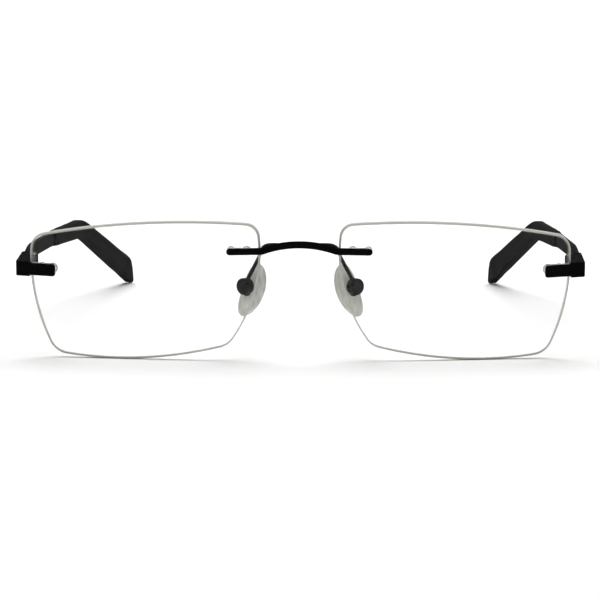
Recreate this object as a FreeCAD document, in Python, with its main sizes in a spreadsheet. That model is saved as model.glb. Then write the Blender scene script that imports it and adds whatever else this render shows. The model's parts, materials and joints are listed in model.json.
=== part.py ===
import FreeCAD, Part
import math
import os
import Sketcher

# Rimless eyeglasses: two drilled lenses, a bridge and two end pieces pinned to them with studs
# in plastic bushings, nose pads on wire arms, and folding temples with plastic ear sleeves.
#
# +Z is up, +X is the wearer's left and -Y is the way the wearer looks. At rest the temples are
# open and the glasses stand on a table: lens bottoms and temple tips touch z = 0. The origin is
# on the table at the centre of the footprint. Left pieces are modelled, and right pieces are
# their mirror images. Lengths are millimetres and angles are degrees.

Vector = FreeCAD.Vector
Rotation = FreeCAD.Rotation
Placement = FreeCAD.Placement
X_AXIS = Vector(1, 0, 0)
Y_AXIS = Vector(0, 1, 0)
Z_AXIS = Vector(0, 0, 1)
# which point of a sketch line a constraint holds, and a sketch's own origin and upright axis
START, END, CENTRE = 1, 2, 3
SKETCH_ORIGIN = (-1, START)
VERTICAL_AXIS = -2

DIMENSIONS = {
    # lenses
    "lens_width": 55.0,
    "lens_height": 33.4,
    "lens_thickness": 2.0,
    "lens_middle_x": 37.0,
    "front_radius": 105.0,
    "back_radius": 104.3,
    "blank_radius": 33.0,
    "lens_wrap": 5.0,
    "lens_lean": 6.0,
    "lens_vertex_y": -6.0,
    "lens_vertex_z": 16.417,
    "bevel": 0.35,
    # lens outline: four side arcs, each with its radius and the place of its farthest point
    "top_radius": 150.0,
    "top_apex": -8.5,
    "outer_radius": 50.0,
    "outer_apex": 7.0,
    "bottom_radius": 115.0,
    "bottom_apex": 7.5,
    "nasal_radius": 36.0,
    "nasal_apex": 9.0,
    "top_outer_corner": 4.0,
    "bottom_outer_corner": 5.0,
    "bottom_nasal_corner": 5.0,
    "top_nasal_corner": 3.6,
    # lens mounts: studs in plastic bushings
    "hole_radius": 0.8,
    "bush_radius": 0.78,
    "bush_bore_radius": 0.53,
    "stud_radius": 0.5,
    "bush_inset": 0.05,
    "bridge_cap_radius": 1.0,
    "end_piece_cap_radius": 1.2,
    "cap_depth": 0.9,
    "strap_width": 1.3,
    "strap_depth": 0.55,
    "stud_past_lens": 0.5,
    "seat_gap": 0.02,
    "cap_gap": 0.08,
    "bridge_hole_x": 14.05,
    "bridge_hole_spacing": 3.7,
    "end_hole_x": 60.7,
    "end_hole_z": 21.4,
    "end_hole_spacing": 2.8,
    # bridge
    "bar_height": 1.65,
    "bar_depth": 1.2,
    "bar_edge": 0.3,
    "arm_reach": 17.2,
    "arm_height": 26.2,
    "arch_crown_z": 27.95,
    "arch_radius": 23.0,
    "arch_crown_y": -7.7,
    "plan_arch_radius": 20.0,
    "kink_radius": 3.0,
    # end pieces
    "plate_reach": 2.85,
    "plate_depth": 1.3,
    "plate_height": 3.0,
    "block_height": 3.6,
    "block_start_x": 64.1,
    "half_width": 67.5,
    "return_inner_x": 64.35,
    "return_rear_y": 12.05,
    "hinge_recess_x": 65.95,
    "hinge_recess_y": 9.4,
    "plate_corner": 0.7,
    "end_corner": 0.8,
    "end_edge": 0.25,
    # hinges
    "hinge_x": 64.5,
    "hinge_y": 12.3,
    "hinge_bottom_z": 19.95,
    "hinge_height": 3.4,
    "knuckle_radius": 1.25,
    "knuckle_height": 1.2,
    "knuckle_slot": 1.3,
    "knuckle_clearance": 0.2,
    "leaf_depth": 1.4,
    "front_leaf_length": 2.75,
    "temple_leaf_length": 5.5,
    "screw_radius": 0.58,
    "screw_hole_radius": 0.63,
    "screw_head_radius": 0.95,
    "screw_head_height": 0.45,
    "screw_slot_width": 0.25,
    "screw_slot_depth": 0.2,
    # temples, in a frame on the hinge axis that is turned in by toe_in
    "toe_in": 2.6,
    "bar_inner_x": 1.45,
    "temple_bar_depth": 1.3,
    "bar_front_y": -0.12,
    "bar_front_low_z": 19.9,
    "bar_front_top_z": 23.5,
    "bar_rise_y": 7.5,
    "bar_rise_low_z": 21.5,
    "bar_rise_top_z": 25.0,
    "bar_end_y": 43.0,
    "bar_end_low_z": 20.5,
    "bar_end_top_z": 24.3,
    "bar_knee_radius": 25.0,
    "bar_corner_edge": 0.3,
    "core_radius": 0.65,
    "core_bore_radius": 0.7,
    "core_short_of_end": 10.0,
    "sleeve_gap": 0.02,
    "sleeve_taper": 2.5,
    "sleeve_pinch": 0.4,
    "sleeve_centre_x": 1.95,
    "sleeve_centre_z": 22.4,
    "sleeve_pitch": 3.1,
    "sleeve_straight": 44.0,
    "bend_radius": 25.0,
    "tip_length": 38.5,
    "tip_pitch": 23.0,
    "tip_yaw": 13.0,
    "tip_roll": 10.0,
    "sleeve_depth": 2.7,
    "sleeve_height": 4.1,
    "tip_depth": 2.9,
    "tip_height": 6.0,
    "sleeve_corner": 0.8,
    "tip_end_edge": 0.5,
    "tip_slant": 5.5,
    "tip_slant_drop": 4.3,
    # nose pads
    "pad_wire_radius": 0.45,
    "wire_top_z": 27.75,
    "wire_inner_x": 2.6,
    "wire_leaves_arch_x": 6.0,
    "wire_corner_x": 9.3,
    "wire_corner_y": -2.0,
    "wire_corner_z": 25.4,
    "wire_foot_across": 1.6,
    "wire_foot_up": 1.7,
    "wire_end_across": 1.1,
    "wire_end_up": 0.5,
    "braze": 0.08,
    "box_x": 13.2,
    "box_y": 2.5,
    "box_z": 17.0,
    "box_radius": 1.98,
    "box_depth": 1.6,
    "box_corner_reach": 2.35,
    "box_corner_angle": -72.0,
    "box_vent_reach": 1.5,
    "box_vent_radius": 0.25,
    "box_slot_width": 1.2,
    "box_slot_height": 2.0,
    "box_floor": 0.25,
    "pin_radius": 0.25,
    "pin_hole_radius": 0.3,
    "pin_half_length": 1.7,
    "barrel_radius": 0.5,
    "barrel_length": 1.1,
    "neck_radius": 0.35,
    "neck_length": 2.2,
    "pad_facing": 55.0,
    "pad_shift": 0.85,
    "pad_tilt": 24.0,
    "pad_drop": 1.45,
    "pad_half_depth": 1.3,
    "pad_half_width": 3.25,
    "pad_half_height": 7.0,
    "core_half_depth": 0.5,
    "core_half_width": 1.8,
    "core_half_height": 4.0,
    "core_gap": 0.06,
    # distance from the origin forward to the datum that every y above is measured from
    "datum_ahead": 67.3,
}

doc = FreeCAD.newDocument("Eyeglasses")
finished = []


def make_sheet(dimensions):
    """Write every driving dimension to the spreadsheet, with its name as the alias."""
    sheet = doc.addObject("Spreadsheet::Sheet", "Sheet")
    for row, (name, value) in enumerate(dimensions.items(), start=1):
        sheet.set(f"A{row}", name)
        sheet.set(f"B{row}", str(value))
        sheet.setAlias(f"B{row}", name)
    doc.recompute()
    return sheet


def size(name):
    """Read one driving dimension back from the spreadsheet."""
    return float(getattr(sheet, name))


def at(x, y, z):
    """A point given from the datum plane, in the part's own frame."""
    return Vector(x, y - size("datum_ahead"), z)


def bind(thing, **expressions):
    """Bind properties of an object to spreadsheet expressions."""
    for name, expression in expressions.items():
        thing.setExpression(name, expression)
    return thing


def finish(thing, label):
    """Give a sub-part its label and put it on the list of pieces to write."""
    thing.Label = label
    finished.append(thing)
    return thing


def mirror(source, label):
    """The right-hand copy of a left-hand piece."""
    copy = doc.addObject("Part::Mirroring", label)
    copy.Source = source
    copy.Normal = X_AXIS
    return finish(copy, label)


def pair(thing, name):
    """Finish a left-hand piece and its mirror image."""
    finish(thing, name + "_left")
    mirror(thing, name + "_right")


# ---------------------------------------------------------------- sketch helpers

def origin_plane(body, role):
    return next(plane for plane in body.Origin.OriginFeatures if plane.Role == role)


def add_sketch(body, name, role="XY_Plane", offset=Placement()):
    """A sketch on one of the body's own origin planes."""
    sketch = body.newObject("Sketcher::SketchObject", name)
    sketch.AttachmentSupport = [(origin_plane(body, role), "")]
    sketch.MapMode = "FlatFace"
    sketch.AttachmentOffset = offset
    return sketch


def limit(sketch, kind, *references, value=None):
    """Add one constraint, with its size bound to a spreadsheet expression if it has one."""
    if value is None:
        return sketch.addConstraint(Sketcher.Constraint(kind, *references))
    number = float(sketch.evalExpression(value))
    index = sketch.addConstraint(Sketcher.Constraint(kind, *references, number))
    sketch.setExpression(f"Constraints[{index}]", value)
    return index


def place_point(sketch, line, end, x, y):
    """Tie a point of the sketch to two spreadsheet expressions."""
    limit(sketch, "DistanceX", *SKETCH_ORIGIN, line, end, value=x)
    limit(sketch, "DistanceY", *SKETCH_ORIGIN, line, end, value=y)


def polygon(sketch, corners):
    """A closed straight-sided outline whose corners are pairs of expressions."""
    points = []
    for x, y in corners:
        points.append(Vector(float(sketch.evalExpression(x)), float(sketch.evalExpression(y)), 0))
    lines = []
    for first, second in zip(points, points[1:] + points[:1]):
        lines.append(sketch.addGeometry(Part.LineSegment(first, second)))
    for line, following in zip(lines, lines[1:] + lines[:1]):
        limit(sketch, "Coincident", line, END, following, START)
    for line, (x, y) in zip(lines, corners):
        place_point(sketch, line, START, x, y)


def circle(sketch, x, y, radius):
    """A circle with its centre and radius tied to expressions."""
    centre = Vector(float(sketch.evalExpression(x)), float(sketch.evalExpression(y)), 0)
    round_line = Part.Circle(centre, Z_AXIS, float(sketch.evalExpression(radius)))
    index = sketch.addGeometry(round_line)
    place_point(sketch, index, CENTRE, x, y)
    limit(sketch, "Radius", index, value=radius)


def arc_between(centre, radius, first, second):
    """The counter-clockwise arc about a centre, from the direction of one point to another."""
    start = math.atan2(first.y - centre.y, first.x - centre.x)
    stop = math.atan2(second.y - centre.y, second.x - centre.x)
    return Part.ArcOfCircle(Part.Circle(centre, Z_AXIS, radius), start, stop)


def edge_names(shape, wanted):
    """Names of the shape's edges that pass a test."""
    return [f"Edge{i}" for i, edge in enumerate(shape.Edges, start=1) if wanted(edge)]


def is_straight_along(edge, axis):
    if edge.Degenerated or not isinstance(edge.Curve, Part.Line):
        return False
    return abs(edge.Curve.Direction.dot(axis)) > 0.999


def is_lens_rim(edge):
    """True where the edged outline meets a lens surface, and not on the surface's own seam."""
    return not edge.Degenerated and isinstance(edge.Curve, Part.BSplineCurve)


def through_cut(body, sketch, name):
    """A pocket through everything, both ways from its sketch."""
    pocket = body.newObject("PartDesign::Pocket", name)
    pocket.Profile = sketch
    pocket.SideType = "Symmetric"
    pocket.Type = "ThroughAll"
    return pocket


def pad_both_ways(body, sketch, name, length):
    """A pad of a given total length, half of it each way from its sketch."""
    pad = body.newObject("PartDesign::Pad", name)
    pad.Profile = sketch
    pad.SideType = "Symmetric"
    bind(pad, Length=length)
    return pad


def round_edges(body, base, name, radius, wanted):
    """Fillet the edges of a feature that pass a test."""
    doc.recompute()
    fillet = body.newObject("PartDesign::Fillet", name)
    fillet.Base = (base, edge_names(base.Shape, wanted))
    bind(fillet, Radius=radius)
    return fillet


# ---------------------------------------------------------------- where the lens lies

def lens_placement():
    """The left lens: its vertex, turned back at the outside and leaning forward at the top."""
    turn = Rotation(Z_AXIS, size("lens_wrap")) * Rotation(X_AXIS, size("lens_lean"))
    vertex = at(size("lens_middle_x"), size("lens_vertex_y"), size("lens_vertex_z"))
    return Placement(vertex, turn)


def seat(x, z):
    """Where a plate touches the lens front at a given x and z.

    Returns the touching point, the angle of the plate in plan and its lean about X.
    """
    centre = lens_placement().multVec(Vector(0, size("front_radius"), 0))
    plan = math.asin((x - centre.x) / size("front_radius"))
    lean = math.asin((centre.z - z) / (size("front_radius") * math.cos(plan)))
    forward = Vector(0, -math.cos(plan) * math.cos(lean), 0)
    point = Vector(x, centre.y + forward.y * size("front_radius"), z)
    return point, math.degrees(plan), math.degrees(lean)


def seat_frame(x, z):
    """The seat as a placement: X outward along the lens front, Y back through the lens."""
    point, plan, lean = seat(x, z)
    return Placement(point, Rotation(X_AXIS, lean) * Rotation(Z_AXIS, plan))


def bridge_seat():
    return seat_frame(size("bridge_hole_x"), size("arm_height"))


def end_seat():
    return seat_frame(size("end_hole_x"), size("end_hole_z"))


MOUNTS = {
    "bridge": (bridge_seat, "bridge_hole_spacing"),
    "end_piece": (end_seat, "end_hole_spacing"),
}


# ---------------------------------------------------------------- lenses

def lens_blank(body):
    """A round meniscus blank, turned about the lens axis."""
    sketch = add_sketch(body, "blank_profile")
    front_radius = size("front_radius")
    back_radius = size("back_radius")
    rim = size("blank_radius")
    front_centre = Vector(0, front_radius, 0)
    back_centre = Vector(0, size("lens_thickness") + back_radius, 0)
    front_rim = Vector(rim, front_radius - math.sqrt(front_radius**2 - rim**2), 0)
    back_rim = Vector(rim, back_centre.y - math.sqrt(back_radius**2 - rim**2), 0)
    back_vertex = Vector(0, size("lens_thickness"), 0)
    front = sketch.addGeometry(arc_between(front_centre, front_radius, Vector(), front_rim))
    edge = sketch.addGeometry(Part.LineSegment(front_rim, back_rim))
    back = sketch.addGeometry(arc_between(back_centre, back_radius, back_vertex, back_rim))
    axis = sketch.addGeometry(Part.LineSegment(back_vertex, Vector()))
    limit(sketch, "Coincident", front, START, *SKETCH_ORIGIN)
    limit(sketch, "Coincident", front, END, edge, START)
    limit(sketch, "Coincident", edge, END, back, END)
    limit(sketch, "Coincident", back, START, axis, START)
    limit(sketch, "Coincident", axis, END, front, START)
    limit(sketch, "Vertical", edge)
    limit(sketch, "Vertical", axis)
    limit(sketch, "PointOnObject", front, CENTRE, VERTICAL_AXIS)
    limit(sketch, "PointOnObject", back, CENTRE, VERTICAL_AXIS)
    limit(sketch, "Radius", front, value="Sheet.front_radius")
    limit(sketch, "Radius", back, value="Sheet.back_radius")
    limit(sketch, "DistanceX", *SKETCH_ORIGIN, edge, START, value="Sheet.blank_radius")
    limit(sketch, "DistanceY", *SKETCH_ORIGIN, back, START, value="Sheet.lens_thickness")
    blank = body.newObject("PartDesign::Revolution", "blank")
    blank.Profile = sketch
    blank.ReferenceAxis = (sketch, ["V_Axis"])
    blank.Angle = 360
    return blank


def rolling_corner(first, second, radius, near):
    """Centre of a corner arc that rolls inside two side circles, nearest to a given point."""
    reach_1 = first[1] - radius
    reach_2 = second[1] - radius
    apart = second[0] - first[0]
    along = (reach_1**2 - reach_2**2 + apart.Length**2) / (2 * apart.Length)
    across = math.sqrt(reach_1**2 - along**2)
    unit = Vector(apart).normalize()
    normal = Vector(-unit.y, unit.x, 0)
    choices = [first[0] + unit * along + normal * (side * across) for side in (-1, 1)]
    return min(choices, key=lambda point: (point - near).Length)


def lens_outline(sketch):
    """The edged shape: four side arcs joined by four corner arcs, all tangent."""
    across = size("lens_width") / 2
    up = size("lens_height") / 2
    # side name, arc centre as expressions, and the corner that follows it clockwise
    sides = [
        ("top", "Sheet.top_apex", "Sheet.lens_height / 2 - Sheet.top_radius",
         "top_outer", Vector(across, up, 0)),
        ("outer", "Sheet.lens_width / 2 - Sheet.outer_radius", "Sheet.outer_apex",
         "bottom_outer", Vector(across, -up, 0)),
        ("bottom", "Sheet.bottom_apex", "Sheet.bottom_radius - Sheet.lens_height / 2",
         "bottom_nasal", Vector(-across, -up, 0)),
        ("nasal", "Sheet.nasal_radius - Sheet.lens_width / 2", "Sheet.nasal_apex",
         "top_nasal", Vector(-across, up, 0)),
    ]
    circles = []
    for name, x, y, _, _ in sides:
        centre = Vector(float(sketch.evalExpression(x)), float(sketch.evalExpression(y)), 0)
        circles.append((centre, size(name + "_radius")))
    corners = []
    for i, (_, _, _, corner, near) in enumerate(sides):
        radius = size(corner + "_corner")
        centre = rolling_corner(circles[i], circles[(i + 1) % 4], radius, near)
        corners.append((centre, radius))
    arcs = []
    for i in range(4):
        side_centre, side_radius = circles[i]
        before, _ = corners[i - 1]
        after, corner_radius = corners[i]
        next_centre = circles[(i + 1) % 4][0]
        arcs.append(arc_between(side_centre, side_radius, after, before))
        leave = after + (after - next_centre)
        arrive = after + (after - side_centre)
        arcs.append(arc_between(after, corner_radius, leave, arrive))
    index = sketch.addGeometry(arcs)
    for arc, following in zip(index, index[1:] + index[:1]):
        limit(sketch, "Tangent", arc, START, following, END)
    for i, (name, x, y, corner, _) in enumerate(sides):
        place_point(sketch, index[2 * i], CENTRE, x, y)
        limit(sketch, "Radius", index[2 * i], value=f"Sheet.{name}_radius")
        limit(sketch, "Radius", index[2 * i + 1], value=f"Sheet.{corner}_corner")


def make_lens():
    body = doc.addObject("PartDesign::Body", "lens")
    blank = lens_blank(body)
    outline = add_sketch(body, "edging", "XZ_Plane")
    lens_outline(outline)
    circle(outline, "0", "0", "Sheet.blank_radius + 3")
    edged = through_cut(body, outline, "edged")
    doc.recompute()
    bevel = body.newObject("PartDesign::Chamfer", "safety_bevel")
    bevel.Base = (edged, edge_names(edged.Shape, is_lens_rim))
    bind(bevel, Size="Sheet.bevel")
    for name, (frame, spacing) in MOUNTS.items():
        facing_back = Placement(Vector(), Rotation(X_AXIS, 90))
        offset = lens_placement().inverse() * frame() * facing_back
        holes = add_sketch(body, name + "_hole_centres", offset=offset)
        for side in ("-", ""):
            circle(holes, f"{side}Sheet.{spacing} / 2", "0", "Sheet.hole_radius")
        drilled = body.newObject("PartDesign::Pocket", name + "_holes")
        drilled.Profile = holes
        drilled.SideType = "Symmetric"
        bind(drilled, Length="4 * Sheet.lens_thickness")
    body.Placement = lens_placement()
    pair(body, "lens")


# ---------------------------------------------------------------- studs and bushings

def rod(name, frame, x, start, radius, length):
    """A cylinder along the seat's Y, from a start depth at a given place along the seat."""
    thing = doc.addObject("Part::Cylinder", name)
    bind(thing, Radius=radius, Height=length)
    local = Placement(Vector(x, start, 0), Rotation(X_AXIS, -90))
    thing.Placement = frame * local
    return thing


def fuse(name, things):
    """Several shapes joined into one."""
    joined = doc.addObject("Part::MultiFuse", name)
    joined.Shapes = things
    return joined


def cut(name, base, tool):
    """A base with a tool taken away."""
    less = doc.addObject("Part::Cut", name)
    less.Base = base
    less.Tool = tool
    return less


def make_studs():
    """Studs brazed to the backs of the bridge arms and end plates, through the lens holes."""
    length = "Sheet.seat_gap + Sheet.lens_thickness + Sheet.stud_past_lens"
    for name, (frame, spacing) in MOUNTS.items():
        for place, side in (("inner", -1), ("outer", 1)):
            label = f"{name}_stud_{place}"
            x = side * size(spacing) / 2
            pair(rod(label, frame(), x, -size("seat_gap"), "Sheet.stud_radius", length), label)


def make_plugs():
    """Clear double bushings: two sleeves through the lens, joined by a strap behind it."""
    back = size("lens_thickness") + size("cap_gap")
    for name, (frame, spacing) in MOUNTS.items():
        solid = []
        hollow = []
        for side in (-1, 1):
            x = side * size(spacing) / 2
            tag = f"{name}_{len(hollow) + 1}"
            solid.append(rod("sleeve_" + tag, frame(), x, size("bush_inset"), "Sheet.bush_radius",
                             "Sheet.lens_thickness + Sheet.cap_gap"))
            solid.append(rod("cap_" + tag, frame(), x, back, f"Sheet.{name}_cap_radius",
                             "Sheet.cap_depth"))
            # the bore is blind: it ends just past the stud, inside the cap
            hollow.append(rod("bore_" + tag, frame(), x, -1, "Sheet.bush_bore_radius",
                              "1 + Sheet.lens_thickness + Sheet.stud_past_lens + Sheet.bush_inset"))
        strap = doc.addObject("Part::Box", "strap_" + name)
        bind(strap, Length=f"Sheet.{spacing}", Width="Sheet.strap_depth", Height="Sheet.strap_width")
        corner = Vector(-size(spacing) / 2, back, -size("strap_width") / 2)
        strap.Placement = frame() * Placement(corner, Rotation())
        body = fuse(name + "_plug_solid", solid + [strap])
        pair(cut(name + "_plug", body, fuse(name + "_plug_bores", hollow)), name + "_plug")


# ---------------------------------------------------------------- bridge

def flipped(point):
    """The mirror image of a point of a symmetric sketch."""
    return Vector(-point.x, point.y, 0)


def arched_path(name, placement, crown, radius, reach, arm_point, arm_angle):
    """Centre line of a bar: an arch, a kink each side, and an arm lying on each lens.

    The sketch's Y is the way the arch rises. The arm passes through arm_point at arm_angle and
    ends at the given reach from the middle.
    """
    sketch = doc.addObject("Sketcher::SketchObject", name)
    sketch.Placement = placement
    kink = size("kink_radius")
    rise = float(sketch.evalExpression(crown))
    arch = float(sketch.evalExpression(radius))
    centre = Vector(0, rise - arch, 0)
    along = Vector(math.cos(arm_angle), math.sin(arm_angle), 0)
    normal = Vector(-along.y, along.x, 0)
    base = arm_point + normal * kink - centre
    half = base.dot(along)
    travel = -half + math.sqrt(half**2 - base.dot(base) + (arch + kink) ** 2)
    kink_centre = centre + base + along * travel
    foot = kink_centre - normal * kink
    shoulder = centre + (kink_centre - centre) * (arch / (arch + kink))
    outward = float(sketch.evalExpression(reach))
    tip = arm_point + along * ((outward - arm_point.x) / along.x)
    crown_arc = arc_between(centre, arch, shoulder, flipped(shoulder))
    index = sketch.addGeometry([
        Part.LineSegment(tip, foot),
        arc_between(kink_centre, kink, shoulder, foot),
        crown_arc,
        arc_between(flipped(kink_centre), kink, flipped(foot), flipped(shoulder)),
        Part.LineSegment(flipped(foot), flipped(tip)),
    ])
    arm, bend, top, far_bend, far_arm = index
    limit(sketch, "Tangent", arm, END, bend, END)
    limit(sketch, "Tangent", bend, START, top, START)
    limit(sketch, "Tangent", top, END, far_bend, END)
    limit(sketch, "Tangent", far_bend, START, far_arm, START)
    limit(sketch, "PointOnObject", top, CENTRE, VERTICAL_AXIS)
    limit(sketch, "DistanceY", *SKETCH_ORIGIN, top, CENTRE, value=f"{crown} - {radius}")
    limit(sketch, "Radius", top, value=radius)
    limit(sketch, "Radius", bend, value="Sheet.kink_radius")
    limit(sketch, "Equal", bend, far_bend)
    limit(sketch, "DistanceX", *SKETCH_ORIGIN, arm, START, value=reach)
    sketch.addConstraint(Sketcher.Constraint("DistanceY", *SKETCH_ORIGIN, arm, START, tip.y))
    limit(sketch, "Symmetric", arm, START, far_arm, END, VERTICAL_AXIS)
    return sketch


def band(name, path, half_width):
    """Thicken a centre line to a band with round ends, and extrude it well past the bar."""
    flat = doc.addObject("Part::Offset2D", name + "_band")
    flat.Source = path
    flat.Mode = "Pipe"
    bind(flat, Value=half_width)
    solid = doc.addObject("Part::Extrusion", name + "_slab")
    solid.Base = flat
    solid.DirMode = "Normal"
    solid.Solid = True
    solid.Symmetric = True
    solid.LengthFwd = 80
    return solid


def make_bridge():
    """The bar is what its elevation and its plan have in common, with its edges rounded."""
    point, plan, _ = seat(size("bridge_hole_x"), size("arm_height"))
    plan = math.radians(plan)
    stand_off = size("seat_gap") + size("bar_depth") / 2
    arm_x = point.x + stand_off * math.sin(plan)
    arm_y = -(point.y + size("datum_ahead")) + stand_off * math.cos(plan)
    front = Placement(at(0, 0, 0), Rotation(X_AXIS, 90))
    elevation = arched_path("bridge_elevation", front, "Sheet.arch_crown_z", "Sheet.arch_radius",
                            "Sheet.arm_reach - Sheet.bar_height / 2",
                            Vector(size("bridge_hole_x"), size("arm_height"), 0), 0.0)
    above = Placement(at(0, 0, 0), Rotation(X_AXIS, 180))
    plan_view = arched_path("bridge_plan", above, "-Sheet.arch_crown_y", "Sheet.plan_arch_radius",
                            "Sheet.arm_reach + Sheet.bar_depth",
                            Vector(arm_x, arm_y, 0), -plan)
    common = doc.addObject("Part::Common", "bridge_blank")
    common.Base = band("bridge_elevation", elevation, "Sheet.bar_height / 2")
    common.Tool = band("bridge_plan", plan_view, "Sheet.bar_depth / 2")
    doc.recompute()
    rounded = doc.addObject("Part::Fillet", "bridge_rounded")
    rounded.Base = common
    radius = size("bar_edge")
    rim = [i for i, edge in enumerate(common.Shape.Edges, start=1) if crosses_bar(edge) is False]
    rounded.Edges = [(i, radius, radius) for i in rim]
    finish(rounded, "bridge")


def crosses_bar(edge):
    """True for the short seams that run across a bar, between one long edge and the next."""
    return is_straight_along(edge, Y_AXIS) or is_straight_along(edge, Z_AXIS)


# ---------------------------------------------------------------- end pieces

def make_end_piece():
    """A plate on the lens front, and a return that runs back beside the lens to the hinge."""
    point, plan, lean = seat(size("end_hole_x"), size("end_hole_z"))
    body = doc.addObject("PartDesign::Body", "end_piece")
    body.Placement = Placement(point, Rotation(X_AXIS, lean))
    rear = point.y + size("datum_ahead")
    slope = math.tan(math.radians(plan))
    back_y = -size("seat_gap") / math.cos(math.radians(plan))
    front_y = back_y - size("plate_depth") / math.cos(math.radians(plan))
    inner_x = "-Sheet.plate_reach"
    outer_x = "(Sheet.half_width - Sheet.end_hole_x)"
    return_x = "(Sheet.return_inner_x - Sheet.end_hole_x)"
    recess_x = "(Sheet.hinge_recess_x - Sheet.end_hole_x)"

    def on_line(x, offset):
        return f"{x} * {slope:.6f} + {offset:.6f}"

    outline = add_sketch(body, "plan")
    polygon(outline, [
        (inner_x, on_line(inner_x, back_y)),
        (inner_x, on_line(inner_x, front_y)),
        (outer_x, on_line(outer_x, front_y)),
        (outer_x, f"Sheet.return_rear_y - {rear:.6f}"),
        (recess_x, f"Sheet.return_rear_y - {rear:.6f}"),
        (recess_x, f"Sheet.hinge_recess_y - {rear:.6f}"),
        (return_x, f"Sheet.hinge_recess_y - {rear:.6f}"),
        (return_x, on_line(return_x, back_y)),
    ])
    block = pad_both_ways(body, outline, "block", "Sheet.block_height")
    steps = add_sketch(body, "plate_steps", "XZ_Plane")
    step_x = "Sheet.block_start_x - Sheet.end_hole_x"
    for side in ("", "-"):
        polygon(steps, [
            (f"{inner_x} - 2", f"{side}Sheet.plate_height / 2"),
            (step_x, f"{side}Sheet.plate_height / 2"),
            (step_x, f"{side}(Sheet.block_height / 2 + 1)"),
            (f"{inner_x} - 2", f"{side}(Sheet.block_height / 2 + 1)"),
        ])
    stepped = through_cut(body, steps, "stepped")
    outer = size("half_width") - size("end_hole_x")

    def is_plate_tip_corner(edge):
        return is_straight_along(edge, Y_AXIS) and abs(edge.CenterOfMass.x + size("plate_reach")) < 0.01

    def is_front_corner(edge):
        middle = edge.CenterOfMass
        return is_straight_along(edge, Z_AXIS) and abs(middle.x - outer) < 0.01 and middle.y < 3

    def is_front_rim(edge):
        middle = edge.CenterOfMass
        on_front = abs(middle.y - middle.x * slope - front_y) < 0.01
        level = abs(abs(middle.z) - size("block_height") / 2) < 0.01
        outside = abs(middle.x - outer) < 0.01 or isinstance(edge.Curve, Part.Circle)
        upright = is_straight_along(edge, Z_AXIS) and middle.x > 0
        return (on_front and not upright) or (outside and level)

    tipped = round_edges(body, stepped, "tip_corners", "Sheet.plate_corner", is_plate_tip_corner)
    turned = round_edges(body, tipped, "front_corner", "Sheet.end_corner", is_front_corner)
    round_edges(body, turned, "softened", "Sheet.end_edge", is_front_rim)
    pair(body, "end_piece")


# ---------------------------------------------------------------- hinges

def hinge_cylinder(name, frame, radius, height, z=0.0):
    thing = doc.addObject("Part::Cylinder", name)
    bind(thing, Radius=radius, Height=height)
    thing.Placement = frame * Placement(Vector(0, 0, z), Rotation())
    return thing


def hinge_block(name, frame, x, y, z, length, width, height):
    thing = doc.addObject("Part::Box", name)
    bind(thing, Length=length, Width=width, Height=height)
    thing.Placement = frame * Placement(Vector(x, y, z), Rotation())
    return thing


def hinge_frame():
    return Placement(at(size("hinge_x"), size("hinge_y"), size("hinge_bottom_z")), Rotation())


def temple_frame():
    """On the hinge axis at table height, with Y back along the temple."""
    turn = Rotation(Z_AXIS, size("toe_in"))
    return Placement(at(size("hinge_x"), size("hinge_y"), 0), turn)


def make_front_hinge():
    """Two knuckles on one leaf, brazed into the recess of the end piece."""
    frame = hinge_frame()
    barrel = hinge_cylinder("front_barrel", frame, "Sheet.knuckle_radius", "Sheet.hinge_height")
    leaf = hinge_block("front_leaf", frame, 0, -size("front_leaf_length"), 0,
                       "Sheet.leaf_depth", "Sheet.front_leaf_length", "Sheet.hinge_height")
    slot_z = (size("hinge_height") - size("knuckle_slot")) / 2
    slot = hinge_cylinder("front_slot", frame, "Sheet.knuckle_radius + Sheet.knuckle_clearance",
                          "Sheet.knuckle_slot", slot_z)
    hole = hinge_cylinder("front_screw_hole", frame, "Sheet.screw_hole_radius",
                          "Sheet.hinge_height")
    solid = fuse("front_hinge_solid", [barrel, leaf])
    pair(cut("front_hinge", solid, fuse("front_hinge_cuts", [slot, hole])), "hinge_front")


def make_temple_hinge():
    """One knuckle between the other two, on a leaf brazed to the inside of the temple bar."""
    turned = temple_frame() * Placement(Vector(0, 0, size("hinge_bottom_z")), Rotation())
    knuckle_z = (size("hinge_height") - size("knuckle_height")) / 2
    clear = size("knuckle_radius") + size("knuckle_clearance")
    barrel = hinge_cylinder("temple_barrel", turned, "Sheet.knuckle_radius",
                            "Sheet.knuckle_height", knuckle_z)
    web = hinge_block("temple_web", turned, 0, 0, knuckle_z, "Sheet.leaf_depth",
                      "Sheet.knuckle_radius + 2 * Sheet.knuckle_clearance", "Sheet.knuckle_height")
    leaf = hinge_block("temple_leaf", turned, 0, clear, 0, "Sheet.leaf_depth",
                       "Sheet.temple_leaf_length", "Sheet.hinge_height")
    hole = hinge_cylinder("temple_screw_hole", turned, "Sheet.screw_hole_radius",
                          "Sheet.hinge_height")
    pair(cut("temple_hinge", fuse("temple_hinge_solid", [barrel, web, leaf]), hole), "hinge_temple")


def make_hinge_screw():
    """A slotted screw, from the top of the hinge down."""
    frame = hinge_frame()
    top = size("hinge_height")
    shank = hinge_cylinder("screw_shank", frame, "Sheet.screw_radius", "Sheet.hinge_height")
    head = hinge_cylinder("screw_head", frame, "Sheet.screw_head_radius",
                          "Sheet.screw_head_height", top)
    half = size("screw_slot_width") / 2
    floor = top + size("screw_head_height") - size("screw_slot_depth")
    slot = hinge_block("screw_slot", frame, -1.5, -half, floor, "3", "Sheet.screw_slot_width", "1")
    pair(cut("hinge_screw", fuse("screw_solid", [shank, head]), slot), "hinge_screw")


# ---------------------------------------------------------------- temples

def start_direction():
    pitch = math.radians(size("sleeve_pitch"))
    return Vector(0, math.cos(pitch), -math.sin(pitch))


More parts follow.
